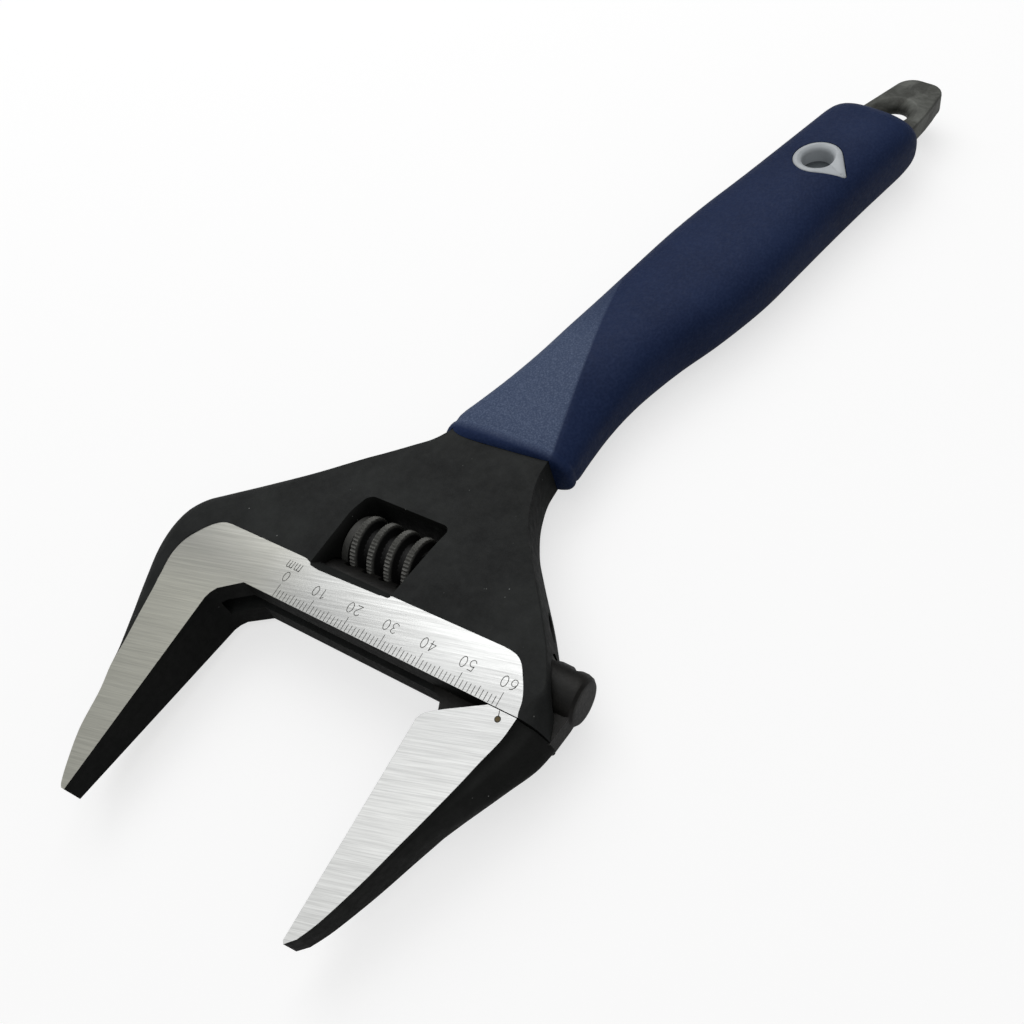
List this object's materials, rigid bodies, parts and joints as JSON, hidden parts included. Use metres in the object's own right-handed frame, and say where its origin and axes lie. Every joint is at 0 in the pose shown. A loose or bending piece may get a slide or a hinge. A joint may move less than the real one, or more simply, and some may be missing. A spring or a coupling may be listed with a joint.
{
  "type": "adjustable wrench",
  "caption": "Wide-opening adjustable wrench with thin tapered jaws, a millimetre scale on the ground pad, a knurled worm and a two-part cushioned handle.",
  "frame": {"origin": "where the fixed jaw's gripping face meets the throat face, at mid thickness", "axes": "+X is the way the moving jaw opens, +Y runs from the throat towards the handle, +Z is across the thickness, out of the face with the scale"},
  "size_m": [0.1168, 0.2852, 0.0208],
  "materials": {
    "black_steel": "matt black phosphate over forged steel, ground bright on the pads",
    "jaw_steel": "matt black phosphate over forged steel, ground bright on the pads",
    "worm_steel": "black oxide, knurled crest",
    "pin_steel": "turned, oiled",
    "spring_steel": "drawn wire",
    "grey_plastic": "moulded, satin",
    "navy_rubber": "fine leather grain, matt"
  },
  "bodies": {
    "handle": {"wrench_body": "black_steel", "worm_pin": "pin_steel", "worm_spring": "spring_steel", "grip_core": "grey_plastic", "grip_cover": "navy_rubber"},
    "moving_jaw": {"moving_jaw": "jaw_steel"},
    "worm": {"worm": "worm_steel"}
  },
  "joints": [
    {"name": "jaw_slide", "type": "slide", "parent": "handle", "child": "moving_jaw", "axis": [1, 0, 0], "range_m": [-0.0617, 0]},
    {"name": "worm_spin", "type": "hinge", "parent": "handle", "child": "worm", "pos_m": [0.0296, 0.0227, 0], "axis": [1, 0, 0], "range_deg": [0, 4450]}
  ],
  "couplings": [
    {"joint": "worm_spin", "follows": "jaw_slide", "rad_per_m": -1256.6}
  ]
}
